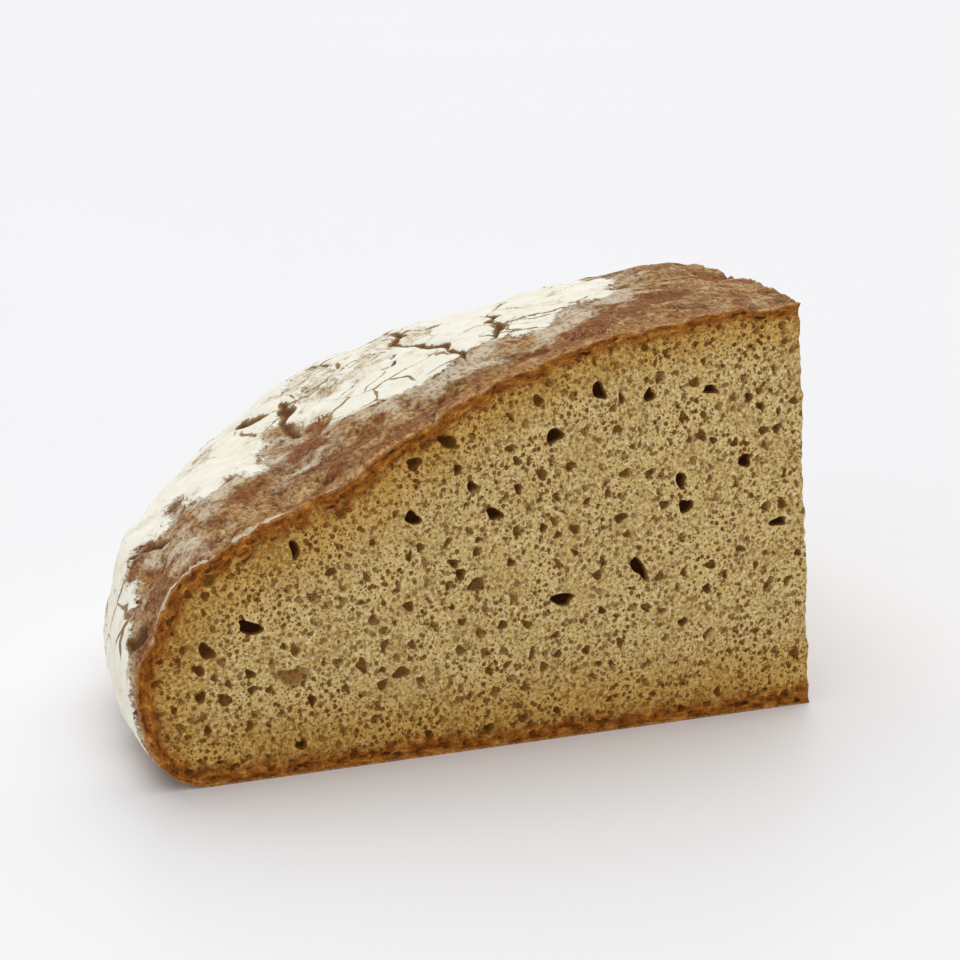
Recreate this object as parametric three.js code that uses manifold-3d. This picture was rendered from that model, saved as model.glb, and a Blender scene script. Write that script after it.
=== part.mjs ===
// A quarter of a large round rye loaf, as two straight cuts through the middle leave it.
//
// Millimetres, +Z up. The loaf stands on its flat base at z = 0 with the origin under the middle
// of its box. The long cut faces -Y and the short cut faces +X; they meet at the right-hand edge.
// The crust is the dome at the back and left: swollen, slumped over the long cut, and grooved by
// the cracks between its plates. The largest pores of the crumb open into both cuts.

import * as THREE from "three";
import { mergeVertices } from "three/addons/utils/BufferGeometryUtils.js";
import Module from "manifold-3d";

// ---- driving dimensions -------------------------------------------------------------------

const LOAF_HEIGHT = 92; // base to the top of the dome
const LOAF_RADIUS = 169; // axis to the waist, along the long cut
const CROSS_RADIUS = 180; // axis to the waist, across it: the round is a little oval
const WAIST_HEIGHT = 20; // where the loaf is widest
const FOOT_INSET = 16; // how far the flat base stays inside the waist
const DOME_POWER = 2.6; // 2 is an ellipse, more is a flatter top
const SLUMP = 9.5; // how much lower the shoulder is over the long cut
const SLUMP_REACH = 0.76; // where it is lowest, as a part of the radius
const SLUMP_SPREAD = 0.25;

const AXIS = [72.95, -93.17]; // the round loaf's axis, from the origin
const CUT_EDGE = [-14, 5]; // where the two cuts meet at the top, from the axis
const CUT_ANGLE = 101; // between the two cuts, degrees
const SIDE_CUT_LEAN = 3; // the short cut leans back this much, degrees

const SWELL_HEIGHT = 1; // the longest waves of the crust
const SWELL_LENGTH = 70;
const SWELL_RATIO = 0.84; // each wave is this much shorter and lower than the last
const SWELL_WAVES = 10;
const SWELL_SHIFT = 5.5; // phase from one wave to the next
const CALM_REACH = 75; // this near to the edge where the cuts meet the waves settle
const CALM_HEIGHT = 1.5; // to this even height
const PLATE_SIZE = 27; // crust plates between the cracks
const CRACK_DEPTH = 1.5;
const CRACK_WIDTH = 3.2;
const CRACK_START = [85, 105]; // the cracks deepen over this distance behind the long cut
const CRACK_LEFT = 0.3; // share of their depth that is left in front of it

const CRUST_MARGIN = 7; // crumb this close to the crust or the base has no large pores
const EDGE_MARGIN = 4; // nor this close to the edge where the cuts meet
const PORE_LENGTH = 4.6; // the largest pore that the rule places
const PORE_DECAY = 0.16; // how fast the next ones get smaller
const PORE_GAP = 2.5; // crumb left between two pores
const FRONT_PORES = 44;
const SIDE_PORES = 40;

// The largest pores of the long cut: distance from the cut edge, height over the base,
// length, height and tilt in degrees.
const NAMED_PORES = [
  [124, 22, 8.0, 4.4, 10],
  [143, 30, 4.6, 3.0, 60],
  [133, 34, 6.4, 2.8, 25],
  [42, 37, 6.4, 2.8, 60],
  [61, 32, 6.0, 2.8, 5],
  [86, 70, 4.6, 3.0, 30],
  [50, 78, 4.4, 3.2, 50],
  [61, 69, 4.4, 3.4, 0],
  [95, 54, 4.0, 3.0, 20],
  [94, 66, 3.8, 2.8, 0],
  [76, 53, 4.2, 2.8, 15],
  [30, 50, 3.8, 3.2, -35],
  [31, 56, 3.8, 2.8, 80],
  [15, 59, 3.6, 3.0, 0],
  [7, 44, 4.5, 2.2, 0],
  [122, 50, 4.2, 2.4, 80],
  [38, 76, 3.4, 2.6, -60],
  [46, 49, 3.2, 2.4, -20],
  [145, 26, 3.0, 2.4, 30],
  [23, 76, 4.0, 2.0, 0],
];

const DOME_RINGS = 40;
const FOOT_RINGS = 4;
const RING_STEP = 6; // each ring of the dome has this many more points than the last
const RING_CROWDING = 1.8; // rings lie closer together towards the steep side
const SEED = 20261;

const GOLDEN_ANGLE = Math.PI * (3 - Math.sqrt(5));
const radians = THREE.MathUtils.degToRad;

// ---- the round loaf -----------------------------------------------------------------------

// Share of a direction that points along the long cut: 1 along it, 0 across it.
function alongCut(x, y) {
  const reach = Math.hypot(x, y);
  return reach > 0 ? (x / reach) ** 2 : 0;
}

function waistRadius(x, y) {
  const along = alongCut(x, y);
  return LOAF_RADIUS * along + CROSS_RADIUS * (1 - along);
}

// Height of the plain dome over a point of the plan, both from the axis.
function domeHeight(x, y) {
  const reach = Math.min(Math.hypot(x, y) / waistRadius(x, y), 1);
  const dome = WAIST_HEIGHT + (LOAF_HEIGHT - WAIST_HEIGHT) * Math.sqrt(1 - reach ** DOME_POWER);
  const slump = SLUMP * alongCut(x, y) * Math.exp(-(((reach - SLUMP_REACH) / SLUMP_SPREAD) ** 2));
  return dome - slump * Math.sqrt(1 - reach ** 12);
}

// Radius of the rounded underside at a height below the waist.
function footRadius(x, y, z) {
  const down = 1 - Math.max(z, 0) / WAIST_HEIGHT;
  return waistRadius(x, y) - FOOT_INSET * (1 - Math.sqrt(1 - down * down));
}

function insideLoaf(x, y, z) {
  if (z < 0) return false;
  if (z < WAIST_HEIGHT) return Math.hypot(x, y) < footRadius(x, y, z);
  return Math.hypot(x, y) < waistRadius(x, y) && z < domeHeight(x, y);
}

// A point of the plain skin: reach 0 is the top of the dome, 1 the waist, 2 the base's edge.
function plainSkin(angle, reach) {
  const [c, s] = [Math.cos(angle), Math.sin(angle)];
  if (reach <= 1) {
    const radius = waistRadius(c, s) * (1 - (1 - reach) ** RING_CROWDING);
    return new THREE.Vector3(radius * c, radius * s, domeHeight(radius * c, radius * s));
  }
  const turn = ((reach - 1) * Math.PI) / 2;
  const radius = waistRadius(c, s) - FOOT_INSET * (1 - Math.cos(turn));
  return new THREE.Vector3(radius * c, radius * s, WAIST_HEIGHT * (1 - Math.sin(turn)));
}

// Uneven swelling: waves of falling length in directions that never repeat. They settle towards
// the edge where the cuts meet.
function swelling(p) {
  let height = 0;
  for (let k = 0; k < SWELL_WAVES; k++) {
    const size = SWELL_RATIO ** k;
    const [turn, tilt] = [k * GOLDEN_ANGLE, Math.sin(1.7 * k + 0.4)];
    const flat = Math.sqrt(1 - tilt * tilt);
    const way = p.x * Math.cos(turn) * flat + p.y * Math.sin(turn) * flat + p.z * tilt;
    const turns = way / (SWELL_LENGTH * size);
    height += SWELL_HEIGHT * size * Math.sin(2 * Math.PI * turns + SWELL_SHIFT * k);
  }
  const distance = Math.hypot(p.x - CUT_EDGE[0], p.y - CUT_EDGE[1]);
  const calm = Math.exp(-((distance / CALM_REACH) ** 2));
  return height + (CALM_HEIGHT - height) * calm;
}

// Middles of the crust plates: a sunflower spiral over the dome.
function plateMiddles() {
  const count = Math.round(Math.PI * (LOAF_RADIUS / PLATE_SIZE) ** 2);
  const middles = [];
  for (let k = 0; k < count; k++) {
    const angle = k * GOLDEN_ANGLE;
    const radius = LOAF_RADIUS * Math.sqrt((k + 0.5) / count);
    const [x, y] = [radius * Math.cos(angle), radius * Math.sin(angle)];
    middles.push(new THREE.Vector3(x, y, domeHeight(x, y)));
  }
  return middles;
}

// Depth of the groove between the two nearest plates.
function crackDepth(p, middles) {
  const bent = p.clone();
  bent.x += 4 * Math.sin(p.y / 9) + 3 * Math.sin(p.z / 7 + p.y / 23);
  bent.y += 4 * Math.sin(p.x / 11) + 3 * Math.sin(p.z / 6 - p.x / 19);
  let [nearest, second] = [Infinity, Infinity];
  for (const middle of middles) {
    const distance = bent.distanceTo(middle);
    if (distance < nearest) [nearest, second] = [distance, nearest];
    else if (distance < second) second = distance;
  }
  const open = CRACK_LEFT + (1 - CRACK_LEFT) * THREE.MathUtils.smoothstep(p.y, ...CRACK_START);
  return CRACK_DEPTH * open * Math.exp(-(((second - nearest) / CRACK_WIDTH) ** 2));
}

// A point of the real skin. The relief fades out where the loaf stood on the oven floor.
function crustPoint(angle, reach, middles) {
  const point = plainSkin(angle, reach);
  const step = 0.002;
  const inner = plainSkin(angle, Math.max(reach - step, 0));
  const outer = plainSkin(angle, Math.min(reach + step, 2));
  const slope = outer.sub(inner);
  const fall = slope.x * Math.cos(angle) + slope.y * Math.sin(angle);
  const normal = new THREE.Vector3(-slope.z * Math.cos(angle), -slope.z * Math.sin(angle), fall);
  const fade = reach > 1 ? (2 - reach) ** 2 : 1;
  const relief = (swelling(point) - crackDepth(point, middles)) * fade;
  return point.addScaledVector(normal.normalize(), relief);
}

// ---- meshes and solids --------------------------------------------------------------------

// Triangles between two rings of points around the axis, whatever their counts.
function stitchRings(triangles, inner, outer) {
  let [i, j] = [0, 0];
  while (i < inner.count || j < outer.count) {
    const a = inner.start + (i % inner.count);
    const b = outer.start + (j % outer.count);
    const outerNext = (j + 1) / outer.count <= (i + 1) / inner.count || i === inner.count;
    if (outerNext && j < outer.count) {
      triangles.push(a, b, outer.start + ((j + 1) % outer.count));
      j++;
    } else {
      triangles.push(a, b, inner.start + ((i + 1) % inner.count));
      i++;
    }
  }
}

function roundLoafGeometry() {
  const middles = plateMiddles();
  const vertices = [];
  const triangles = [];
  const rings = [];
  const addRing = (count, reach) => {
    rings.push({ start: vertices.length / 3, count });
    for (let k = 0; k < count; k++) {
      vertices.push(...crustPoint((2 * Math.PI * k) / count, reach, middles).toArray());
    }
  };
  addRing(1, 0);
  for (let k = 1; k <= DOME_RINGS; k++) addRing(k * RING_STEP, k / DOME_RINGS);
  for (let k = 1; k <= FOOT_RINGS; k++) addRing(DOME_RINGS * RING_STEP, 1 + k / FOOT_RINGS);
  for (let k = 1; k < rings.length; k++) {
    if (rings[k - 1].count > 1) {
      stitchRings(triangles, rings[k - 1], rings[k]);
      continue;
    }
    for (let j = 0; j < rings[k].count; j++) {
      triangles.push(0, rings[k].start + j, rings[k].start + ((j + 1) % rings[k].count));
    }
  }
  const foot = rings[rings.length - 1];
  const baseMiddle = vertices.length / 3;
  vertices.push(0, 0, 0);
  for (let j = 0; j < foot.count; j++) {
    triangles.push(baseMiddle, foot.start + ((j + 1) % foot.count), foot.start + j);
  }
  const geometry = new THREE.BufferGeometry();
  geometry.setAttribute("position", new THREE.Float32BufferAttribute(vertices, 3));
  geometry.setIndex(triangles);
  return geometry;
}

const cutTurn = radians(CUT_ANGLE - 90);
const ALONG_SIDE = new THREE.Vector3(Math.sin(cutTurn), Math.cos(cutTurn), 0);
const SIDE_OUTWARD = new THREE.Vector3(Math.cos(cutTurn), -Math.sin(cutTurn), 0);

// The edge where the cuts meet, at a height: it moves out along the long cut's own plane.
function cutEdge(z) {
  const lean = (Math.tan(radians(SIDE_CUT_LEAN)) * (LOAF_HEIGHT - z)) / SIDE_OUTWARD.x;
  return new THREE.Vector3(CUT_EDGE[0] + lean, CUT_EDGE[1], z);
}

// The space between the two cuts, as a box whose corners are moved onto them.
function wedgeGeometry() {
  const reach = 2 * CROSS_RADIUS;
  const [low, high] = [-LOAF_HEIGHT / 4, LOAF_HEIGHT * 1.25];
  const geometry = new THREE.BoxGeometry(1, 1, 1);
  const position = geometry.attributes.position;
  for (let k = 0; k < position.count; k++) {
    const [side, front, up] = [position.getX(k), position.getY(k), position.getZ(k)];
    const corner = cutEdge(up < 0 ? low : high);
    if (side > 0) corner.addScaledVector(ALONG_SIDE, reach);
    if (front > 0) corner.x -= reach;
    position.setXYZ(k, corner.x, corner.y, corner.z);
  }
  return geometry;
}

function lehmerRandom(seed) {
  let state = seed;
  return () => {
    state = (state * 48271) % 2147483647;
    return state / 2147483647;
  };
}

// A point on a cut face from its distance to the cut edge and its height.
const FRONT_FACE = {
  point: (along, up) => cutEdge(up).add(new THREE.Vector3(-along, 0, 0)),
  along: new THREE.Vector3(-1, 0, 0),
  inward: new THREE.Vector3(0, 1, 0),
  reach: LOAF_RADIUS,
};
const SIDE_FACE = {
  point: (along, up) => cutEdge(up).addScaledVector(ALONG_SIDE, along),
  along: ALONG_SIDE,
  inward: SIDE_OUTWARD.clone().negate(),
  reach: CROSS_RADIUS,
};

function crumbAround(face, along, up) {
  return [[CRUST_MARGIN, 0], [-EDGE_MARGIN, 0], [0, CRUST_MARGIN], [0, -CRUST_MARGIN]].every(
    ([aside, above]) => {
      const p = face.point(along + aside, up + above);
      return along + aside > 0 && insideLoaf(p.x, p.y, p.z);
    },
  );
}

// Pores of one face: the named ones, then smaller and smaller ones where there is room.
function placePores(face, named, count, seed) {
  const random = lehmerRandom(seed);
  const pores = named.map(([along, up, length, height, tilt]) => {
    return { along, up, length, height, tilt: radians(tilt) };
  });
  let rank = 0;
  for (let tries = 0; tries < 60 * count && pores.length < count; tries++) {
    const along = random() * face.reach;
    const up = random() * LOAF_HEIGHT;
    const length = PORE_LENGTH * (1 + rank) ** -PORE_DECAY;
    const height = length * (0.42 + 0.33 * random());
    const tilt = (random() - 0.5) * Math.PI;
    const clear = pores.every((other) => {
      const room = (length + other.length) / 2 + PORE_GAP;
      return Math.hypot(along - other.along, up - other.up) > room;
    });
    if (!clear || !crumbAround(face, along, up)) continue;
    pores.push({ along, up, length, height, tilt });
    rank++;
  }
  return pores;
}

// One pore as a low faceted ellipsoid whose middle lies on the cut.
function poreGeometry(face, pore) {
  const geometry = new THREE.IcosahedronGeometry(0.5, pore.length > 3.2 ? 1 : 0);
  const upward = new THREE.Vector3(0, 0, 1);
  const basis = new THREE.Matrix4().makeBasis(face.along, upward, face.inward);
  if (basis.determinant() < 0) basis.makeBasis(face.along.clone().negate(), upward, face.inward);
  geometry.rotateX(0.3);
  geometry.rotateY(0.2);
  geometry.scale(pore.length, pore.height, (pore.length + pore.height) / 2);
  geometry.rotateZ(pore.tilt);
  geometry.applyMatrix4(basis);
  const middle = face.point(pore.along, pore.up);
  geometry.translate(middle.x, middle.y, middle.z);
  return geometry;
}

const wasm = await Module();
wasm.setup();

function toSolid(geometry) {
  geometry.deleteAttribute("normal");
  geometry.deleteAttribute("uv");
  const merged = mergeVertices(geometry, 1e-4);
  return new wasm.Manifold(
    new wasm.Mesh({
      numProp: 3,
      vertProperties: new Float32Array(merged.attributes.position.array),
      triVerts: new Uint32Array(merged.index.array),
    }),
  );
}

function toGeometry(solid) {
  const mesh = solid.getMesh();
  const geometry = new THREE.BufferGeometry();
  geometry.setAttribute("position", new THREE.BufferAttribute(mesh.vertProperties, 3));
  geometry.setIndex(new THREE.BufferAttribute(mesh.triVerts, 1));
  return geometry;
}

// ---- the part -----------------------------------------------------------------------------

function loafPiece() {
  let piece = toSolid(roundLoafGeometry()).intersect(toSolid(wedgeGeometry()));
  const pores = [
    ...placePores(FRONT_FACE, NAMED_PORES, FRONT_PORES, SEED).map((p) => [FRONT_FACE, p]),
    ...placePores(SIDE_FACE, [], SIDE_PORES, SEED + 1).map((p) => [SIDE_FACE, p]),
  ];
  for (const [face, pore] of pores) piece = piece.subtract(toSolid(poreGeometry(face, pore)));
  const geometry = toGeometry(piece);
  geometry.translate(AXIS[0], AXIS[1], 0);
  const material = new THREE.MeshStandardMaterial({ color: 0x9f8653, roughness: 0.95 });
  material.name = "bread";
  const mesh = new THREE.Mesh(geometry, material);
  mesh.name = "loaf";
  return mesh;
}

const part = new THREE.Group();
part.name = "rye_loaf_quarter";
part.add(loafPiece());

export default part;
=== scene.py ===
"""A quarter of a large floured rye loaf, with its crumb, pores, crust and flour.

The loaf's forms are worked out in millimetres from the round loaf's axis, by the same rules as
the CAD solid, and moved to the frame's metres at the end. One closed mesh replaces the solid: the
crust, the two cuts with their pores, and the base.
"""

import math

import bpy
import numpy as np
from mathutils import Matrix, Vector, noise
from mathutils.geometry import delaunay_2d_cdt


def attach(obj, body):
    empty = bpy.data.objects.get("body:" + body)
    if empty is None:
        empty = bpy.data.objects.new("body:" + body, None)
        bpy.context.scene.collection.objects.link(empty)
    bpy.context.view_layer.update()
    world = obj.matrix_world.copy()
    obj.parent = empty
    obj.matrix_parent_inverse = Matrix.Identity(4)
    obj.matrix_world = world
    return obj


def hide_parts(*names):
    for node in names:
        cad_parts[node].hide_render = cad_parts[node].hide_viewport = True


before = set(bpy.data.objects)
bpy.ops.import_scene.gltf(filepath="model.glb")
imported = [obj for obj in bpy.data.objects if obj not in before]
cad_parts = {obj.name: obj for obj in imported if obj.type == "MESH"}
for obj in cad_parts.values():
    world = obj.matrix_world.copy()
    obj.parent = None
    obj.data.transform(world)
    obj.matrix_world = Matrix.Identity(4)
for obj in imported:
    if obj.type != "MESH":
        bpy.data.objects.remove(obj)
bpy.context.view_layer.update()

MM = 0.001  # in Blender's metres
GOLDEN_ANGLE = math.pi * (3 - math.sqrt(5))

# ---- the round loaf, as in the CAD part

LOAF_HEIGHT = 92.0  # from the base to the top of the dome
LOAF_RADIUS = 169.0  # from the axis to the waist, along the long cut
CROSS_RADIUS = 180.0  # and across it: the round is a little oval
WAIST_HEIGHT = 20.0  # where the loaf is widest
FOOT_INSET = 16.0  # how far the flat base stays inside the waist
DOME_POWER = 2.6  # 2 is an ellipse, more is a flatter top
SLUMP = 9.5  # how much lower the shoulder is over the long cut
SLUMP_REACH = 0.76  # where it is lowest, as a share of the radius
SLUMP_SPREAD = 0.25
SLUMP_END_POWER = 12  # how suddenly it ends at the waist
RING_CROWDING = 1.8  # rings lie closer together towards the steep side

SWELL_HEIGHT = 1.0  # of the longest waves of the crust
SWELL_LENGTH = 70.0
SWELL_RATIO = 0.84  # each wave is this much shorter and lower than the last
SWELL_WAVES = 10
SWELL_SHIFT = 5.5  # phase from one wave to the next
SWELL_TILT = (1.7, 0.4)  # the same for their slant, and its first phase
CALM_REACH = 75.0  # this near to the edge where the cuts meet the waves settle
CALM_HEIGHT = 1.5  # to this even height
PLATE_SIZE = 27.0  # crust plates between the cracks
PLATE_BENDS = (4.0, 3.0)  # how far waves bend the plates' outlines
CRACK_DEPTH = 1.5
CRACK_WIDTH = 3.2
CRACK_START = (85.0, 105.0)  # they deepen between these distances behind the axis
CRACK_LEFT = 0.3  # share of their depth that is left in front of that


def bell(distance, width):
    """1 at no distance, fading to 0 within about twice the width."""
    return np.exp(-((distance / width) ** 2))


def along_cut(x, y):
    """Share of a direction that points along the long cut: 1 along it, 0 across it."""
    return (x / np.maximum(np.hypot(x, y), 1e-9)) ** 2


def waist_radius(x, y):
    along = along_cut(x, y)
    return LOAF_RADIUS * along + CROSS_RADIUS * (1 - along)


def dome_height(x, y):
    reach = np.minimum(np.hypot(x, y) / waist_radius(x, y), 1)
    dome = WAIST_HEIGHT + (LOAF_HEIGHT - WAIST_HEIGHT) * np.sqrt(1 - reach**DOME_POWER)
    slump = SLUMP * along_cut(x, y) * bell(reach - SLUMP_REACH, SLUMP_SPREAD)
    return dome - slump * np.sqrt(1 - reach**SLUMP_END_POWER)


def inside_loaf(x, y, z):
    down = 1 - min(max(z, 0), WAIST_HEIGHT) / WAIST_HEIGHT
    foot = waist_radius(x, y) - FOOT_INSET * (1 - math.sqrt(1 - down * down))
    top = dome_height(x, y)
    return z >= 0 and math.hypot(x, y) < foot and (z < WAIST_HEIGHT or z < top)


def plain_skin(angle, reach):
    """Points of the plain skin: reach 0 is the top of the dome, 1 the waist, 2 the base's edge."""
    c, s = np.cos(angle), np.sin(angle)
    waist = waist_radius(c, s)
    dome_radius = waist * (1 - (1 - np.minimum(reach, 1)) ** RING_CROWDING)
    turn = np.maximum(reach - 1, 0) * math.pi / 2
    foot_radius = waist - FOOT_INSET * (1 - np.cos(turn))
    radius = np.where(reach <= 1, dome_radius, foot_radius)
    foot_height = WAIST_HEIGHT * (1 - np.sin(turn))
    height = np.where(reach <= 1, dome_height(radius * c, radius * s), foot_height)
    return np.stack([radius * c, radius * s, height], -1)


def skin_normals(angle, reach):
    step = 0.002
    inner = plain_skin(angle, np.maximum(reach - step, 0))
    outer = plain_skin(angle, np.minimum(reach + step, 2))
    x, y, z = (outer - inner).T
    c, s = np.cos(angle), np.sin(angle)
    normal = np.stack([-z * c, -z * s, x * c + y * s], -1)
    return normal / np.linalg.norm(normal, axis=1, keepdims=True)


def swelling(p):
    """Waves of falling length in directions that never repeat, calm where the cuts meet."""
    height = 0
    for k in range(SWELL_WAVES):
        size = SWELL_RATIO**k
        turn, tilt = k * GOLDEN_ANGLE, math.sin(SWELL_TILT[0] * k + SWELL_TILT[1])
        flat = math.sqrt(1 - tilt * tilt)
        way = p @ np.array([math.cos(turn) * flat, math.sin(turn) * flat, tilt])
        turns = way / (SWELL_LENGTH * size)
        height = height + SWELL_HEIGHT * size * np.sin(2 * math.pi * turns + SWELL_SHIFT * k)
    calm = bell(np.hypot(p[:, 0] - CUT_EDGE[0], p[:, 1] - CUT_EDGE[1]), CALM_REACH)
    return height + (CALM_HEIGHT - height) * calm


def plate_middles():
    """Middles of the crust's plates: a sunflower spiral over the dome."""
    count = round(math.pi * (LOAF_RADIUS / PLATE_SIZE) ** 2)
    k = np.arange(count)
    radius = LOAF_RADIUS * np.sqrt((k + 0.5) / count)
    x, y = radius * np.cos(k * GOLDEN_ANGLE), radius * np.sin(k * GOLDEN_ANGLE)
    return np.stack([x, y, dome_height(x, y)], -1)


def plate_gap(p):
    """1 in the middle of a crack between two plates, 0 on the plates."""
    x, y, z = p.T
    long_bend, short_bend = PLATE_BENDS
    bent = p.copy()  # by waves of unlike lengths, so that no bend comes back
    bent[:, 0] += long_bend * np.sin(y / 9) + short_bend * np.sin(z / 7 + y / 23)
    bent[:, 1] += long_bend * np.sin(x / 11) + short_bend * np.sin(z / 6 - x / 19)
    distance = np.linalg.norm(bent[:, None, :] - plate_middles()[None, :, :], axis=2)
    nearest, second = np.partition(distance, 1, axis=1)[:, :2].T
    return bell(second - nearest, CRACK_WIDTH)


# ---- the two cuts

AXIS = (72.95, -93.17)  # the round loaf's axis, from the part's origin
CUT_EDGE = (-14.0, 5.0)  # the top of the edge where the cuts meet, from the axis
CUT_ANGLE = 101.0  # degrees between the two cuts
SIDE_CUT_LEAN = 3.0  # degrees that the short cut leans back

CUT_TURN = math.radians(CUT_ANGLE - 90)
ALONG_SIDE = np.array([math.sin(CUT_TURN), math.cos(CUT_TURN), 0])
SIDE_OUTWARD = np.array([math.cos(CUT_TURN), -math.sin(CUT_TURN), 0])
LEAN_SLOPE = math.tan(math.radians(SIDE_CUT_LEAN)) / SIDE_OUTWARD[0]

SEED = 20261
EDGE_SEED = SEED + 5
SMALL_PORE_SEEDS = 50  # on top of a cut's own seed
LEHMER_FACTOR = 48271
LEHMER_PRIME = 2147483647

# The largest pores of the long cut: distance from the cut edge, height over the base,
# length, height and tilt in degrees.
NAMED_PORES = [
    (124, 22, 8.0, 4.4, 10), (143, 30, 4.6, 3.0, 60), (133, 34, 6.4, 2.8, 25),
    (42, 37, 6.4, 2.8, 60), (61, 32, 6.0, 2.8, 5), (86, 70, 4.6, 3.0, 30),
    (50, 78, 4.4, 3.2, 50), (61, 69, 4.4, 3.4, 0), (95, 54, 4.0, 3.0, 20),
    (94, 66, 3.8, 2.8, 0), (76, 53, 4.2, 2.8, 15), (30, 50, 3.8, 3.2, -35),
    (31, 56, 3.8, 2.8, 80), (15, 59, 3.6, 3.0, 0), (7, 44, 4.5, 2.2, 0),
    (122, 50, 4.2, 2.4, 80), (38, 76, 3.4, 2.6, -60), (46, 49, 3.2, 2.4, -20),
    (145, 26, 3.0, 2.4, 30), (23, 76, 4.0, 2.0, 0),
]

CRUST_MARGIN = 7.0  # crumb this close to the crust or the base has no large pores
EDGE_MARGIN = 4.0  # nor this close to the edge where the cuts meet
PORE_LENGTH = 4.6  # the largest pore that the rule places
PORE_DECAY = 0.16  # how fast the next ones get smaller
PORE_ROUNDNESS = (0.42, 0.33)  # least height for its length, and how much more it may be
PORE_GAP = 2.5  # crumb left between two pores
PORE_TRIES = 60  # for each pore
FRONT_PORES = 44
SIDE_PORES = 40

SMALL_PORES = 1150  # on each cut
SMALL_LENGTHS = (0.85, 2.9)  # of the smallest and the largest of them
SMALL_DECAY = 3.2  # the higher, the more of them are near the smallest
SMALL_ROUNDNESS = (0.55, 0.45)
SMALL_GAP = 0.35
SMALL_MARGIN = 0.9  # from the outline of the cut
SMALL_TRIES = 30

PORE_LOBES = [(2, 0.1), (3, 0.14), (4, 0.06)]  # bulges round a pore, and their height
PALE_LENGTH = 7.0  # a pore longer than this is a shallow, pale bubble
PALE_DEPTH = 0.55  # its share of a pore's usual depth
PALE_PORE_SHADE = 0.2  # of the shade painted into its hollow
# Shade painted into a hollow: how dark at least, how much more, and how rare the darker ones are.
NAMED_PORE_SHADE = (0.6, 0.5, 1)
PLACED_PORE_SHADE = (0.2, 0.5, 1)
SMALL_PORE_SHADE = (0.25, 0.8, 3)
# Rings of points down the wall of a pore longer than the first number: how many, and their
# share of its width and of its depth.
PORE_DETAIL = [
    (2.9, [(24, 1, 0), (20, 0.92, 0.5), (14, 0.74, 0.85), (8, 0.42, 1.05), (1, 0, 1.12)]),
    (1.6, [(13, 1, 0), (11, 0.86, 0.6), (6, 0.5, 1.0), (1, 0, 1.1)]),
    (0, [(7, 1, 0), (6, 0.72, 0.75), (1, 0, 1.05)]),
]


def cut_edge(z):
    """Points of the edge where the cuts meet, at these heights."""
    z = np.asarray(z, float)
    lean = LEAN_SLOPE * (LOAF_HEIGHT - z)
    return np.stack([CUT_EDGE[0] + lean, CUT_EDGE[1] + 0 * z, z], -1)


def past_side_cut(p):
    """How far points lie outside the short cut; negative in the loaf."""
    return (p - cut_edge(p[:, 2])) @ SIDE_OUTWARD


class Cut:
    """One flat cut. A place on it is its distance along from the cut edge and its height."""

    def __init__(self, along, inward, reach, mirrored, named_pores, pore_count, seed):
        self.along = np.array(along, float)
        self.inward = np.array(inward, float)
        self.reach = reach
        self.mirrored = mirrored  # along runs to the left when seen from outside
        self.named_pores = named_pores
        self.pore_count = pore_count
        self.seed = seed

    def point(self, along, up):
        return cut_edge(up) + np.asarray(along, float)[..., None] * self.along

    def place(self, p):
        return np.stack([(p - cut_edge(p[:, 2])) @ self.along, p[:, 2]], -1)


FRONT = Cut((-1, 0, 0), (0, 1, 0), LOAF_RADIUS, True, NAMED_PORES, FRONT_PORES, SEED)
SIDE = Cut(ALONG_SIDE, -SIDE_OUTWARD, CROSS_RADIUS, False, [], SIDE_PORES, SEED + 1)


def lehmer_random(seed):
    """Numbers between 0 and 1 that are the same in every run."""
    while True:
        seed = (seed * LEHMER_FACTOR) % LEHMER_PRIME
        yield seed / LEHMER_PRIME


def crumb_around(cut, along, up):
    room = ((CRUST_MARGIN, 0), (-EDGE_MARGIN, 0), (0, CRUST_MARGIN), (0, -CRUST_MARGIN))
    for aside, above in room:
        x, y, z = cut.point(along + aside, up + above)
        if along + aside <= 0 or not inside_loaf(x, y, z):
            return False
    return True


def large_pores(cut):
    """The pores of the CAD solid, by its rule: place, length, height and tilt of each."""
    random = lehmer_random(cut.seed)
    pores = [(*sizes, math.radians(tilt)) for *sizes, tilt in cut.named_pores]
    flattest, more = PORE_ROUNDNESS
    rank = 0
    for _ in range(PORE_TRIES * cut.pore_count):
        if len(pores) == cut.pore_count:
            break
        along = next(random) * cut.reach
        up = next(random) * LOAF_HEIGHT
        length = PORE_LENGTH * (1 + rank) ** -PORE_DECAY
        height = length * (flattest + more * next(random))
        tilt = (next(random) - 0.5) * math.pi
        clear = all(
            math.hypot(along - a, up - u) > (length + other) / 2 + PORE_GAP
            for a, u, other, _, _ in pores
        )
        if clear and crumb_around(cut, along, up):
            pores.append((along, up, length, height, tilt))
            rank += 1
    return pores


def small_pores(pores, outline, seed):
    """Ever smaller pores in the room that is left on a cut."""
    random = lehmer_random(seed)
    taken = np.array([(along, up, length / 2) for along, up, length, _, _ in pores])
    placed = []
    smallest, largest = SMALL_LENGTHS
    flattest, more = SMALL_ROUNDNESS
    for _ in range(SMALL_TRIES * SMALL_PORES):
        if len(placed) == SMALL_PORES:
            break
        left = 1 - len(placed) / SMALL_PORES
        length = smallest + (largest - smallest) * left**SMALL_DECAY
        along, up = next(random) * outline.size[0], next(random) * outline.size[1]
        room = np.hypot(taken[:, 0] - along, taken[:, 1] - up) - taken[:, 2] - length / 2
        if room.min() < SMALL_GAP or outline.depth(along, up) < length / 2 + SMALL_MARGIN:
            continue
        height = length * (flattest + more * next(random))
        placed.append((along, up, length, height, (next(random) - 0.5) * math.pi))
        taken = np.vstack([taken, (along, up, length / 2)])
    return placed


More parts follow.
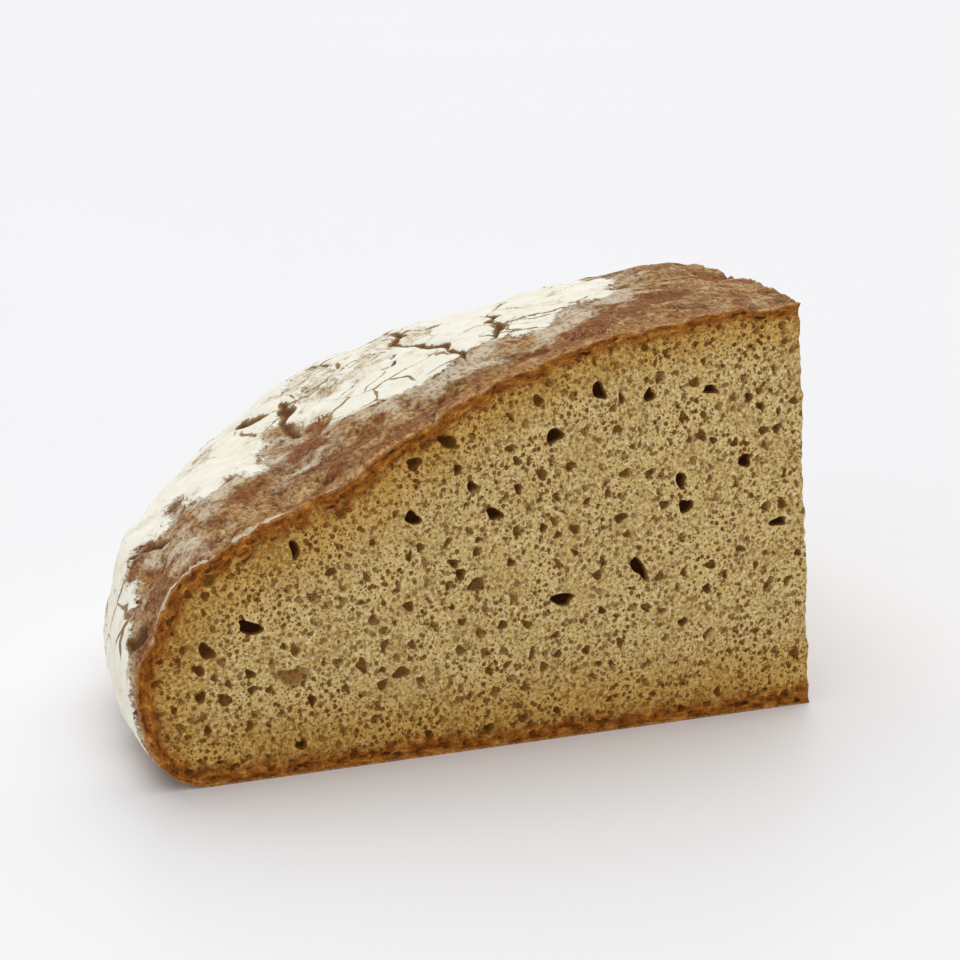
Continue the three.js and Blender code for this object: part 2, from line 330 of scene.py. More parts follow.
def pore_rings(cut, pore, random):
    """Places down one pore's wall and in its middle, with the depth of each."""
    along, up, length, height, tilt = pore
    waves = [next(random) * 2 * math.pi for _ in PORE_LOBES]
    depth = (length + height) / 4 * (PALE_DEPTH if length > PALE_LENGTH else 1)
    to_right = 1 if cut.mirrored else -1
    c, s = math.cos(tilt), math.sin(tilt)
    places = []
    for count, share, down in next(rings for over, rings in PORE_DETAIL if length > over):
        turn = 2 * math.pi * (np.arange(count) + 0.5 * (count % 2)) / count
        uneven = 1
        for (lobes, bulge), wave in zip(PORE_LOBES, waves):
            uneven = uneven + bulge * np.sin(lobes * turn + wave)
        x = length / 2 * share * uneven * np.cos(turn)
        y = height / 2 * share * uneven * np.sin(turn)
        aside, above = to_right * (x * c - y * s), x * s + y * c
        places.append(np.stack([along + aside, up + above, np.full(count, depth * down)], -1))
    return np.concatenate(places)


# ---- the crust

DOME_RINGS = 180  # from the cut edge out to the waist
FOOT_RINGS = 12
DOME_SAMPLES = 3000  # along the dome, to measure its length
WAIST_ROUNDS = 60  # of closing in on the waist
TRIM_POWER = 12  # how near to a cut the crust is moved to meet it

# The flour's edge towards the long cut, in plan from left to right.
FLOUR_EDGE = [
    (-175, 24), (-165, 26), (-161, 30), (-158, 45), (-155, 46), (-152, 42), (-149, 44),
    (-146, 54), (-144, 58), (-142, 40), (-138, 39), (-135, 46), (-133, 39), (-129, 39),
    (-125, 46), (-121, 58), (-117, 75), (-113, 66), (-110, 44), (-106, 38), (-97, 33),
    (-88, 30), (-82, 33), (-76, 38), (-70, 35), (-65, 32), (-60, 37), (-54, 44), (-47, 52),
    (-42, 46), (-37, 51), (-32, 64), (-26, 80), (-22, 110),
]
LOW_FLOUR = 16.0  # low down on the loaf the flour comes this much nearer to the long cut
LOW_FLOUR_HEIGHTS = (32.0, 22.0)  # from where that begins to where it is complete
SIDE_BAND = 24.0  # bare crust along the short cut
FOOT_BAND = 6.0  # and above the base
FOOT_BAND_SLOPE = 1.2
FLOUR_THICKNESS = 0.35
FLOUR_FADE = (-0.8, 0.8)  # the layer thins out over this distance at its edge

# Open cracks across the flour: the width and the path in plan.
CRACKS = [
    (1.7, [(-66, 91), (-72, 99), (-81, 78), (-80, 66), (-81, 51), (-84, 28)]),
    (1.2, [(-86, 68), (-90, 60), (-94, 61)]),
    (2.4, [(-106, 93), (-112, 74), (-115, 60), (-117, 52)]),
    (2.6, [(-115, 110), (-113, 97), (-113, 84)]),
    (1.4, [(-43, 97), (-51, 87), (-62, 69), (-70, 48), (-74, 34)]),
    (2.4, [(-158, 47), (-152, 39)]),
    (3.1, [(-165, 24), (-166, 14)]),
]
CRACK_TAPER = 9.0  # they narrow over this length at their ends
CRACK_TIP = 0.3  # to this share of their width
CRACK_EVENNESS = (0.7, 0.5)  # share of their width that is sure, and how much a noise adds

# Patches of the crust: middle in plan, length, width, and turn from the long cut in degrees.
# In them the flour is rubbed thin, ridges hold dust, and hollows are redder.
WORN_PATCHES = [
    (-101, 78, 30, 11, 72), (-92, 72, 24, 7, 65), (-119, 66, 16, 6, 85), (-80, 86, 30, 7, 75),
    (-75, 84, 16, 8, 60), (-98, 99, 16, 9, 40), (-38, 84, 10, 4, 50), (-160, 62, 20, 8, 80),
    (-126, 92, 18, 6, 60),
]
DUSTY_PATCHES = [
    (-153, 18, 30, 8, 80), (-143, 34, 18, 9, 60), (-132, 38, 14, 7, 30), (-122, 30, 22, 7, 25),
    (-90, 22, 36, 10, 0), (-65, 26, 19, 5, 62), (-55, 36, 20, 7, 55), (-42, 44, 22, 8, 50),
    (-77, 31, 16, 6, 40), (-104, 30, 16, 6, 10), (-146, 5, 50, 3, 0),
]
RED_PATCHES = [
    (-118, 41, 20, 8, 65), (-113, 21, 15, 7, 10), (-136, 29, 15, 7, 40), (-56, 21, 20, 8, 8),
    (-40, 31, 32, 9, 28), (-8, 57, 24, 9, 76), (-34, 60, 20, 5, 52), (-126, 11, 22, 5, 0),
    (-98, 12, 24, 5, 0), (-73, 13, 18, 5, 8), (-160, 20, 20, 5, 85),
]
RING_LEVELS = (0.35, 0.75)  # where in the fading of a worn patch the flour is cracked
RING_WIDTH = 0.06
RING_BREAKS = (-0.1, 0.15)  # the cracks are gone where a noise is below the first
RING_OPENING = 0.6

# Noises over the crust: the size of their features in mm, their octaves and their seed.
WANDER = (12, 2, 1)
SIDE_WANDER = (12, 2, 9)
FLOUR_FRAY = (4, 3, 2)
TEARS = [(9, 4, 11), (9, 4, 12), (9, 4, 13)]
GAP_SHARPNESS = (14, 2, 14)
OPEN_STRETCHES = (30, 2, 7)
CREASES = ((24, 8, 8), 4, 3)
LUMPS = (10, 4, 8)
GRAIN = (2.4, 3, 4)
EDGE_BENDS = (13, 3, 6)
NOISE_SHIFT = Vector((17.3, 5.1, -9.7))  # from one seed to the next

# What the noises do, and how high the relief is.
FLOUR_WANDER = (3.0, 1.5)  # of the edge of the flour, by the wander and by the fray
PATCH_WANDER = 3.0  # of the open cracks and the patches
TEAR = 2.0  # of the cracks between the plates
GAP_UNEVENNESS = 1.1
OPEN_RANGE = (-0.4, 0.4)  # those cracks are shut where their noise is below the first
CREASE_WIDTH = 0.06
CRACK_RELIEF = 1.1
LUMP_RELIEF = 0.7  # of the bare crust
CREASE_RELIEF = 0.7
PATCH_RELIEF = 0.5
GRAIN_RELIEF = (0.26, 0.12)  # of the bare crust and of the flour


def smooth_step(low, high, value):
    t = np.clip((value - low) / (high - low), 0, 1)
    return t * t * (3 - 2 * t)


def fractal(points, size, octaves, seed):
    """Smooth unevenness from about -1 to 1 at each point, with features of that size."""
    shift = NOISE_SHIFT * seed
    places = points / np.array(size, float)
    return np.array([noise.fractal(Vector(p) + shift, 1.0, 2.0, octaves) for p in places])


def distance_to_path(x, y, path):
    distance = np.full(len(x), np.inf)
    for (x0, y0), (x1, y1) in zip(path[:-1], path[1:]):
        dx, dy = x1 - x0, y1 - y0
        t = np.clip(((x - x0) * dx + (y - y0) * dy) / (dx * dx + dy * dy), 0, 1)
        distance = np.minimum(distance, np.hypot(x - x0 - t * dx, y - y0 - t * dy))
    return distance


def patch_share(x, y, patches):
    """1 in the middle of a patch, fading to 0 around it."""
    share = np.zeros(len(x))
    for x0, y0, length, width, turn in patches:
        c, s = math.cos(math.radians(turn)), math.sin(math.radians(turn))
        along = ((x - x0) * c + (y - y0) * s) * 2 / length
        across = ((y - y0) * c - (x - x0) * s) * 2 / width
        share = np.maximum(share, np.exp(-(along**2) - across**2))
    return share


def waist_points(shares):
    """Where straight lines from the cut edge meet the waist, from the long cut to the short."""
    low = cut_edge(WAIST_HEIGHT)[0] - CUT_EDGE[0]
    turn = math.pi - np.radians(CUT_ANGLE) * shares
    start = np.stack([CUT_EDGE[0] + low * shares, np.full(len(shares), CUT_EDGE[1])], -1)
    way = np.stack([np.cos(turn), np.sin(turn)], -1)
    length = np.full(len(shares), LOAF_RADIUS)
    for _ in range(WAIST_ROUNDS):
        x, y = (start + way * length[:, None]).T
        length += waist_radius(x, y) - np.hypot(x, y)
    return start + way * length[:, None]


def even_rims():
    """Shares of the way from the cut edge to the waist that lie evenly along the dome."""
    share = 1 - (1 - np.linspace(0, 1, DOME_SAMPLES)) ** 2
    end = waist_points(np.array([0.5]))[0]
    plan = np.array(CUT_EDGE) + (end - CUT_EDGE) * share[:, None]
    step = np.hypot(np.linalg.norm(np.diff(plan, axis=0), axis=1), np.diff(dome_height(*plan.T)))
    length = np.concatenate([[0], np.cumsum(step)])
    return np.interp(np.linspace(0, length[-1], DOME_RINGS + 1), length, share)


class CrustGrid:
    """The crust's points: rings around the top of the cut edge, then rows down to the base.

    share is how far a point is along its ring, from the long cut to the short one. angle and
    reach are its place on the plain skin.
    """

    def __init__(self):
        shares = [np.array([0.0])]
        shares += [np.arange(2 * k + 1) / (2 * k) for k in range(1, DOME_RINGS + 1)]
        angle, reach = [], []
        for share, rim in zip(shares, even_rims()):
            x, y = (np.array(CUT_EDGE) + (waist_points(share) - CUT_EDGE) * rim).T
            out = np.hypot(x, y) / waist_radius(x, y)
            angle.append(np.arctan2(y, x))
            reach.append(1 - np.maximum(1 - out, 0) ** (1 / RING_CROWDING))
        reach[-1][:] = 1
        for k in range(1, FOOT_RINGS + 1):
            shares.append(shares[DOME_RINGS])
            angle.append(angle[DOME_RINGS])
            reach.append(np.full(len(angle[DOME_RINGS]), 1 + k / FOOT_RINGS))
        counts = [len(share) for share in shares]
        self.starts = np.concatenate([[0], np.cumsum(counts)])
        self.first, self.last = self.starts[:-1], self.starts[1:] - 1
        self.foot = np.arange(*self.starts[-2:])
        self.row = np.repeat(np.arange(len(shares)), counts)
        self.share = np.concatenate(shares)
        self.angle, self.reach = np.concatenate(angle), np.concatenate(reach)

    def trim_to_cuts(self, points):
        """Moves the ends of the rings and rows onto the cuts, and the rest less and less."""
        past_front = points[self.first, 1] - CUT_EDGE[1]
        past_side = past_side_cut(points[self.last])
        near_front, near_side = (1 - self.share) ** TRIM_POWER, self.share**TRIM_POWER
        near_front[0] = near_side[0] = 1
        points[:, 1] -= past_front[self.row] * near_front
        points -= (past_side[self.row] * near_side)[:, None] * SIDE_OUTWARD
        points[0] = cut_edge(points[0, 2])

    def triangles(self):
        triangles = []
        for k in range(DOME_RINGS):
            inner, outer = self.starts[k : k + 2]
            for half in (0, 1):
                a, b = inner + half * k, outer + half * (k + 1)
                for j in range(k + 1):
                    triangles.append((a + j, b + j + 1, b + j))
                    if j < k:
                        triangles.append((a + j, a + j + 1, b + j + 1))
        for k in range(DOME_RINGS, DOME_RINGS + FOOT_RINGS):
            for j in range(2 * DOME_RINGS):
                a, b = self.starts[k : k + 2] + j
                triangles.append((a, a + 1, b + 1))
                triangles.append((a, b + 1, b))
        return np.array(triangles)


def flour_depth(p, rough):
    """How far inside the flour's edge a point lies; negative on the bare crust."""
    x, y, z = p.T
    behind = y - np.interp(x, *zip(*FLOUR_EDGE))
    depth = np.copysign(distance_to_path(x, y, FLOUR_EDGE), behind)
    depth += LOW_FLOUR * smooth_step(*LOW_FLOUR_HEIGHTS, z)
    depth = np.minimum(depth, -past_side_cut(p) - SIDE_BAND)
    depth = np.minimum(depth, (z - FOOT_BAND) * FOOT_BAND_SLOPE)
    return depth + rough


def open_cracks(x, y, unevenness):
    """1 in the middle of an open crack of the flour, 0 beside it."""
    sure, uneven = CRACK_EVENNESS
    crack = np.zeros(len(x))
    for width, path in CRACKS:
        ends = [np.hypot(x - end[0], y - end[1]) for end in (path[0], path[-1])]
        from_tip = smooth_step(0, CRACK_TAPER, np.minimum(*ends))
        half = width * (sure + uneven * unevenness) * (CRACK_TIP + (1 - CRACK_TIP) * from_tip)
        crack = np.maximum(crack, bell(distance_to_path(x, y, path), half))
    return crack


def crust_looks(plain, above_waist):
    """The flour, the cracks and the patches at each point of the plain skin."""
    wander, side_wander = fractal(plain, *WANDER), fractal(plain, *SIDE_WANDER)
    by_wander, by_fray = FLOUR_WANDER
    flour = flour_depth(plain, by_wander * wander + by_fray * fractal(plain, *FLOUR_FRAY))
    x, y = plain[:, 0] + PATCH_WANDER * wander, plain[:, 1] + PATCH_WANDER * side_wander
    crack = open_cracks(x, y, side_wander) * above_waist
    worn = patch_share(x, y, WORN_PATCHES)
    for level in RING_LEVELS:
        ring = bell(worn - level, RING_WIDTH) * smooth_step(*RING_BREAKS, side_wander)
        crack = np.maximum(crack, RING_OPENING * ring)
    return {
        "flour": flour,
        "crack": crack,
        "crease": bell(fractal(plain, *CREASES), CREASE_WIDTH),
        "worn": worn,
        "dusty": patch_share(x, y, DUSTY_PATCHES),
        "red": patch_share(x, y, RED_PATCHES),
    }


def crust_relief(plain, gap, openness, looks):
    """How far the real skin stands out of the plain one."""
    cover = smooth_step(*FLOUR_FADE, looks["flour"])
    relief = swelling(plain) - CRACK_DEPTH * gap * (CRACK_LEFT + (1 - CRACK_LEFT) * openness)
    relief -= CRACK_RELIEF * looks["crack"]
    relief += FLOUR_THICKNESS * cover * (1 - looks["worn"])
    bare_relief = LUMP_RELIEF * fractal(plain, *LUMPS) - CREASE_RELIEF * looks["crease"]
    relief += (1 - cover) * (bare_relief + PATCH_RELIEF * (looks["dusty"] - looks["red"]))
    bare_grain, flour_grain = GRAIN_RELIEF
    relief += (bare_grain + (flour_grain - bare_grain) * cover) * fractal(plain, *GRAIN)
    return relief


def crust_surface(grid):
    """The crust's points, and the values that its material reads."""
    plain = plain_skin(grid.angle, grid.reach)
    torn = np.stack([fractal(plain, *tear) for tear in TEARS], -1)
    sharpness = np.exp(GAP_UNEVENNESS * fractal(plain, *GAP_SHARPNESS))
    gap = plate_gap(plain + TEAR * torn) ** sharpness
    openness = smooth_step(*CRACK_START, plain[:, 1])
    looks = crust_looks(plain, grid.reach < 1)
    relief = crust_relief(plain, gap, openness, looks)
    fade = np.where(grid.reach > 1, (2 - grid.reach) ** 2, 1)
    points = plain + skin_normals(grid.angle, grid.reach) * (relief * fade)[:, None]
    grid.trim_to_cuts(points)
    open_gap = gap * openness * smooth_step(*OPEN_RANGE, fractal(plain, *OPEN_STRETCHES))
    looks["crack"] = np.maximum(looks["crack"], open_gap * fade)
    looks["from_front"] = points[:, 1] - CUT_EDGE[1]
    return points, looks


# ---- the crumb of a cut

CRUMB_STEP = 1.45  # distance between the crumb's own points
CRUMB_SHAKE = 0.55  # share of it that they are moved about
CRUMB_TEAR = 0.22  # how far the crumb between the pores is torn in
PORE_CLEARANCE = 0.3  # between the crumb's own points and a pore's edge
RIM_STEP = 0.8  # from the crust's outline to the first row of crumb points
RIM_CLEARANCE = 0.7  # from there to the others
RIM_SHARE = 0.8  # a point of that row this share of the step inside is kept
OUTLINE_STEP = 0.25  # along the outline, to measure distances to it
EDGE_WIDTH = 0.01  # places this close to the cut edge are on it
RIND_THINNING = 0.6  # the brown rind is this much thinner under the top of the dome
THIN_ALONG = (120, 40)  # from where that begins to where it is complete, along the cut
THIN_UP = (40, 55)  # and in height


class Outline:
    """The outline of a cut: the crust down to the base, then along the base and up the edge."""

    def __init__(self, loop, crust_count):
        self.loop = loop
        self.size = loop.max(axis=0)
        self.crust = loop[:crust_count]
        self.dome = self.crust[: DOME_RINGS + 1]
        self.foot = self.crust[: DOME_RINGS - 1 : -1]  # from the base up to the waist

    def depth(self, along, up):
        """How far inside the outline a place lies; negative outside it."""
        gap = np.hypot(self.loop[:, 0] - along, self.loop[:, 1] - up).min()
        room = [along, up, np.interp(along, *self.dome.T) - up]
        if up < WAIST_HEIGHT:
            room.append(np.interp(up, self.foot[:, 1], self.foot[:, 0]) - along)
        return gap if min(room) > 0 else -gap

    def inner_rim(self):
        """A row of places just inside the crust."""
        way = np.gradient(self.crust, axis=0)
        way /= np.maximum(np.linalg.norm(way, axis=1, keepdims=True), 1e-6)
        rim = self.crust + RIM_STEP * np.column_stack([way[:, 1], -way[:, 0]])
        return rim[[self.depth(*place) > RIM_STEP * RIM_SHARE for place in rim]]

    def crust_distances(self, places):
        """How far each place is from the crust or the base, and where along them it is nearest."""
        skin = self.loop[self.loop[:, 0] > EDGE_WIDTH]
        corners = np.concatenate([[0], np.cumsum(np.hypot(*np.diff(skin, axis=0).T))])
        run = np.arange(0, corners[-1], OUTLINE_STEP)
        skin = np.column_stack([np.interp(run, corners, axis) for axis in skin.T])
        gaps = [np.hypot(*(skin - place).T) for place in places]
        return np.array([gap.min() for gap in gaps]), run[[gap.argmin() for gap in gaps]]


def fill(loop, inner):
    """Triangles between a loop of plan points and the points inside it, as indices into both."""
    places = [Vector(p) for p in np.concatenate([loop, inner])]
    after = np.roll(loop, -1, axis=0)
    turns_left = (loop[:, 0] * after[:, 1] - after[:, 0] * loop[:, 1]).sum() > 0
    outline = list(range(len(loop)))[:: 1 if turns_left else -1]
    _, _, cells, origins, _, sources = delaunay_2d_cdt(places, [], [outline], 1, 1e-5, True)
    inside = [cell for cell, source in zip(cells, sources) if source]
    return np.array([[origins[k][0] for k in cell] for cell in inside])


def crumb_places(outline, pores, random):
    """Places of the crumb between the pores and along the crust, each torn in a little."""
    columns, rows = (int(length / CRUMB_STEP) + 1 for length in outline.size)
    grid = np.array([(i + 0.5 * (j % 2), j) for j in range(rows) for i in range(columns)])
    shake = np.array([(next(random), next(random)) for _ in grid]) - 0.5
    grid = (grid + CRUMB_SHAKE * shake) * CRUMB_STEP
    keep = np.array([outline.depth(*place) > RIM_STEP + RIM_CLEARANCE for place in grid])
    for along, up, length, _, _ in pores:
        gap = np.hypot(grid[:, 0] - along, grid[:, 1] - up)
        keep &= gap > length / 2 + PORE_CLEARANCE
    places = np.concatenate([grid[keep], outline.inner_rim()])
    torn = CRUMB_TEAR * np.array([next(random) for _ in places])
    return np.column_stack([places, torn])


def cut_surface(cut, outline):
    """The places inside one cut with their depths, its triangles, and its material's values."""
    seed = cut.seed + SMALL_PORE_SEEDS
    random = lehmer_random(seed)
    large = large_pores(cut)
    small = small_pores(large, outline, seed)
    pores, named = large + small, len(cut.named_pores)
    rings = [pore_rings(cut, pore, random) for pore in pores]
    ranges = [NAMED_PORE_SHADE] * named + [PLACED_PORE_SHADE] * (len(large) - named)
    ranges += [SMALL_PORE_SHADE] * len(small)
    painted_shade = [
        PALE_PORE_SHADE if length > PALE_LENGTH else least + more * next(random) ** rarity
        for (_, _, length, _, _), (least, more, rarity) in zip(pores, ranges)
    ]
    crumb = crumb_places(outline, pores, random)
    inner = np.concatenate([crumb] + rings)
    faces = fill(outline.loop, inner[:, :2])
    if cut.mirrored:
        faces = faces[:, ::-1]

    places = np.concatenate([outline.loop, inner[:, :2]])
    rind, beside = outline.crust_distances(places)
    thin = smooth_step(*THIN_ALONG, places[:, 0]) * smooth_step(*THIN_UP, places[:, 1])
    rind *= 1 + RIND_THINNING * thin
    # Painted shade: each point's depth down a pore, scaled per pore, darkens the crumb there.
    shades = [ring[:, 2] * dark for ring, dark in zip(rings, painted_shade)]
    hollow = np.concatenate([np.zeros(len(outline.loop) + len(crumb))] + shades)
    return inner, faces, {"rind": rind, "beside": beside, "hollow": hollow}


# ---- one closed mesh

EDGE_STEP = 1.4  # along the edge where the cuts meet
EDGE_RAGGEDNESS = 0.5
EDGE_WAVE = 0.6  # how far the edge wanders out of its straight line
HEM_STEP = 2.5  # along the base of a cut
BASE_STEP = 6.0
BASE_MARGIN = 3.0  # between the base's own points and its outline
SHARP_ANGLE = 70  # degrees; flatter edges are shaded smooth
MATERIAL_SLOTS = {"crust": 0, "front": 1, "side": 1, "base": 2}


class GrowingMesh:
    """A mesh made part by part: points, groups of triangles and the points' values."""

    def __init__(self):
        self.points = np.empty((0, 3))
        self.faces, self.values = {}, {}

    def add(self, points):
        """Adds points and gives back their numbers."""
        old = len(self.points)
        self.points = np.concatenate([self.points, points])
        for name, value in self.values.items():
            self.values[name] = np.append(value, np.zeros(len(points)))
        return np.arange(old, len(self.points))

    def set_values(self, ids, values):
        for name, value in values.items():
            self.values.setdefault(name, np.zeros(len(self.points)))[ids] = value


def ragged_edge(top):
    """Points up the edge where the cuts meet, torn in and bent a little."""
    random = lehmer_random(EDGE_SEED)
    heights = np.arange(EDGE_STEP, top - EDGE_STEP / 2, EDGE_STEP)
    edge = cut_edge(heights)
    ragged = np.array([next(random) for _ in heights]) * EDGE_RAGGEDNESS
    inward = FRONT.along + SIDE.along
    edge += ragged[:, None] * inward / np.linalg.norm(inward)
    edge += EDGE_WAVE * fractal(edge, *EDGE_BENDS)[:, None] * SIDE_OUTWARD
    return edge


def add_cut(mesh, name, cut, column, corner, edge):
    """Adds one cut inside a column of the crust, and gives back its points along the base."""
    end = cut.place(mesh.points[column[-1:]])[0, 0]
    steps = np.linspace(end, 0, int(end / HEM_STEP) + 1)[1:-1]
    hem = mesh.add(cut.point(steps, np.zeros(len(steps))))
    loop = np.concatenate([column, hem, corner, edge])
    places = cut.place(mesh.points[loop])
    places[len(column) + len(hem) :, 0] = 0
    inner, faces, values = cut_surface(cut, Outline(places, len(column)))
    points = cut.point(inner[:, 0], inner[:, 1]) + inner[:, 2:] * cut.inward
    ids = np.concatenate([loop, mesh.add(points)])
    mesh.faces[name] = ids[faces]
    mesh.set_values(ids, values)
    return hem


def add_base(mesh, loop):
    plan = mesh.points[loop, :2]
    low, high = plan.min(axis=0), plan.max(axis=0)
    grid = np.meshgrid(*(np.arange(a, b, BASE_STEP) for a, b in zip(low, high)))
    grid = np.stack([*grid, np.zeros_like(grid[0])], -1).reshape(-1, 3)
    x, y, _ = grid.T
    inside = np.hypot(x, y) < waist_radius(x, y) - FOOT_INSET - BASE_MARGIN
    inside &= (y > CUT_EDGE[1] + BASE_MARGIN) & (past_side_cut(grid) < -BASE_MARGIN)
    faces = fill(plan, grid[inside, :2])
    ids = np.concatenate([loop, mesh.add(grid[inside])])
    mesh.faces["base"] = ids[faces[:, ::-1]]


def loaf_mesh():
    mesh = GrowingMesh()
    grid = CrustGrid()
    crust, looks = crust_surface(grid)
    mesh.set_values(mesh.add(crust), looks)
    mesh.faces["crust"] = grid.triangles()
    edge = mesh.add(ragged_edge(crust[0, 2]))
    corner = mesh.add(cut_edge(np.zeros(1)))
    front_hem = add_cut(mesh, "front", FRONT, grid.first, corner, edge)
    side_hem = add_cut(mesh, "side", SIDE, grid.last, corner, edge)
    add_base(mesh, np.concatenate([corner, front_hem[::-1], grid.foot, side_hem]))
    mesh.points += (*AXIS, 0)
    return mesh


def loaf_piece(materials):
    loaf = loaf_mesh()
    cells = np.concatenate(list(loaf.faces.values()))
    slots = [np.full(len(group), MATERIAL_SLOTS[name]) for name, group in loaf.faces.items()]
    mesh = bpy.data.meshes.new("rye_loaf_quarter")
    mesh.from_pydata(loaf.points * MM, [], cells.tolist())
    mesh.polygons.foreach_set("material_index", np.concatenate(slots).astype(np.int32))
    mesh.polygons.foreach_set("use_smooth", np.ones(len(cells), bool))
    for name, value in loaf.values.items():
        layer = mesh.attributes.new(name, "FLOAT", "POINT")
        layer.data.foreach_set("value", value.astype(np.float32))
    for material in materials:
        mesh.materials.append(material)
    mesh.set_sharp_from_angle(angle=math.radians(SHARP_ANGLE))
    mesh.update()
    return add_object("rye_loaf_quarter", mesh)


# ---- materials


def srgb(red, green, blue):
    """A colour as seen on screen, 0 to 255, as Blender's linear colour."""
    part = [c / 255 for c in (red, green, blue)]
    return [c / 12.92 if c <= 0.04045 else ((c + 0.055) / 1.055) ** 2.4 for c in part] + [1]


def add_node(tree, kind, inputs=None):
    """Adds a node. Each of its inputs may get a number, a colour or a link to a socket."""
    node = tree.nodes.new("ShaderNode" + kind)
    for name, value in (inputs or {}).items():
        if isinstance(value, bpy.types.NodeSocket):
            tree.links.new(value, node.inputs[name])
        else:
            node.inputs[name].default_value = value
    return node


def add_ramp(tree, value, stops):
    node = add_node(tree, "ValToRGB", {"Fac": value})
    elements = node.color_ramp.elements
    while len(elements) < len(stops):
        elements.new(0.5)
    for element, (position, colour) in zip(elements, stops):
        element.position = position
        element.color = colour
    return node.outputs["Color"]


class Shader:
    """Builds one procedural material. Sizes are in millimetres."""

    def __init__(self, name):
        self.material = bpy.data.materials.new(name)
        self.material.use_nodes = True
        self.tree = self.material.node_tree
        self.tree.nodes.clear()
        self.place = self.add("TexCoord").outputs["Object"]

    def add(self, kind, inputs=None):
        return add_node(self.tree, kind, inputs)

    def value(self, name):
        node = self.add("Attribute")
        node.attribute_name = name
        return node.outputs["Fac"]

    def stretched(self, stretch):
        return self.add("Mapping", {"Vector": self.place, "Scale": stretch}).outputs["Vector"]

    def joined(self, x, y):
        """A place on a plane, from two numbers in millimetres."""
        inputs = {"X": self.times(x, MM), "Y": self.times(y, MM)}
        return self.add("CombineXYZ", inputs).outputs["Vector"]

    def noise(self, size, detail=3.0, rough=0.55, bend=0.0, place=None, output="Fac"):
        inputs = {"Vector": place or self.place, "Scale": 1 / (size * MM)}
        inputs |= {"Detail": detail, "Roughness": rough, "Distortion": bend}
        return self.add("TexNoise", inputs).outputs[output]

    def bent(self, size, amount):
        """Places pushed about by a noise, so that what is drawn on them isn't straight."""
        push = self.noise(size, detail=2, rough=0.5, output="Color")
        node = self.add("VectorMath", {0: push, 1: [amount * MM] * 3, 2: self.place})
        node.operation = "MULTIPLY_ADD"
        return node.outputs["Vector"]

    def cells(self, size, feature="F1", place=None):
        """Distance to the middle or the edge of the nearest cell, as a share of the size."""
        node = self.add("TexVoronoi", {"Vector": place or self.place, "Scale": 1 / (size * MM)})
        node.feature = feature
        return node.outputs["Distance"]

    def math(self, operation, a, b, c=0.0):
        node = self.add("Math", {0: a, 1: b, 2: c})
        node.operation = operation
        return node.outputs[0]

    def plus(self, a, b):
        return self.math("ADD", a, b)

    def minus(self, a, b):
        return self.math("SUBTRACT", a, b)

    def times(self, a, b):
        return self.math("MULTIPLY", a, b)

    def larger(self, a, b):
        return self.math("MAXIMUM", a, b)

    def step(self, value, low, high, to_low=0.0, to_high=1.0):
        """From to_low where value is low to to_high where it is high. low may be the larger."""
        inputs = {"Value": value, "From Min": low, "From Max": high}
        node = self.add("MapRange", inputs | {"To Min": to_low, "To Max": to_high})
        node.interpolation_type = "SMOOTHSTEP"
        return node.outputs["Result"]

    def frayed(self, value, by, amount, low=0.3, high=0.7):
        """value, less the amount where the noise by is low and plus it where that is high."""
        return self.plus(value, self.step(by, low, high, -amount, amount))

    def mix(self, share, first, second, blend="MIX"):
        # Numbered sockets, because a mix has others of the same names.
        node = self.add("Mix", {0: share, 6: first, 7: second})
        node.data_type = "RGBA"
        node.blend_type = blend
        return node.outputs[2]

    def ramp(self, value, stops):
        return add_ramp(self.tree, value, stops)

    def bump(self, height, depth):
        return self.add("Bump", {"Distance": depth * MM, "Height": height}).outputs["Normal"]

    def finish(self, colour, roughness, normal, specular=0.25):
        inputs = {"Base Color": colour, "Roughness": roughness, "Normal": normal}
        surface = self.add("BsdfPrincipled", inputs | {"Specular IOR Level": specular})
        self.add("OutputMaterial", {"Surface": surface.outputs["BSDF"]})
        return self.material


BAKED_TINT = (0.84, 0.69, 0.43, 1)  # over the crumb near the crust
RIND_BROWNS = [
    (0.34, srgb(84, 43, 12)), (0.45, srgb(130, 73, 20)), (0.55, srgb(166, 101, 34)),
    (0.67, srgb(208, 150, 70)),
]
# How deep under the crust, in mm, each of these begins and is at its strongest.
BAKED_DEPTHS = (22, 6)
SLIT_DEPTHS = (7, 4.5)
RIND_DEPTHS = (6.6, 2.4)
SKIN_DEPTHS = (0.8, 0.25)
RIND_STRETCH = 0.45  # below 1 what is drawn in the rind is longer along it


def baked(s, crumb, grain):
    """The crumb browned towards the crust, and the dark rind with its flat slits in painted shade.
    """
    rind = s.frayed(s.value("rind"), s.noise(2.6, detail=4), 1.6, 0.25, 0.75)
    colour = s.mix(s.step(rind, *BAKED_DEPTHS), crumb, BAKED_TINT, "MULTIPLY")
    layers = s.joined(s.times(s.value("beside"), RIND_STRETCH), s.value("rind"))
    band = s.ramp(s.noise(1.6, detail=5, rough=0.7, place=layers), RIND_BROWNS)
    # Painted shade: flat slits in the rind, near black, where the mesh has no holes.
    slit = s.step(s.cells(2.1, place=layers), 0.32, 0.16)
    slit = s.times(slit, s.step(rind, *SLIT_DEPTHS))
    slit = s.times(slit, s.step(s.noise(5), 0.42, 0.62, 0.05, 0.95))
    colour = s.mix(s.step(rind, *RIND_DEPTHS), colour, band)
    colour = s.mix(slit, colour, srgb(56, 29, 11))
    skin = s.mix(s.step(grain, 0.36, 0.6), srgb(140, 86, 42), srgb(204, 160, 102))
    return s.mix(s.times(s.step(s.value("rind"), *SKIN_DEPTHS), 0.6), colour, skin)


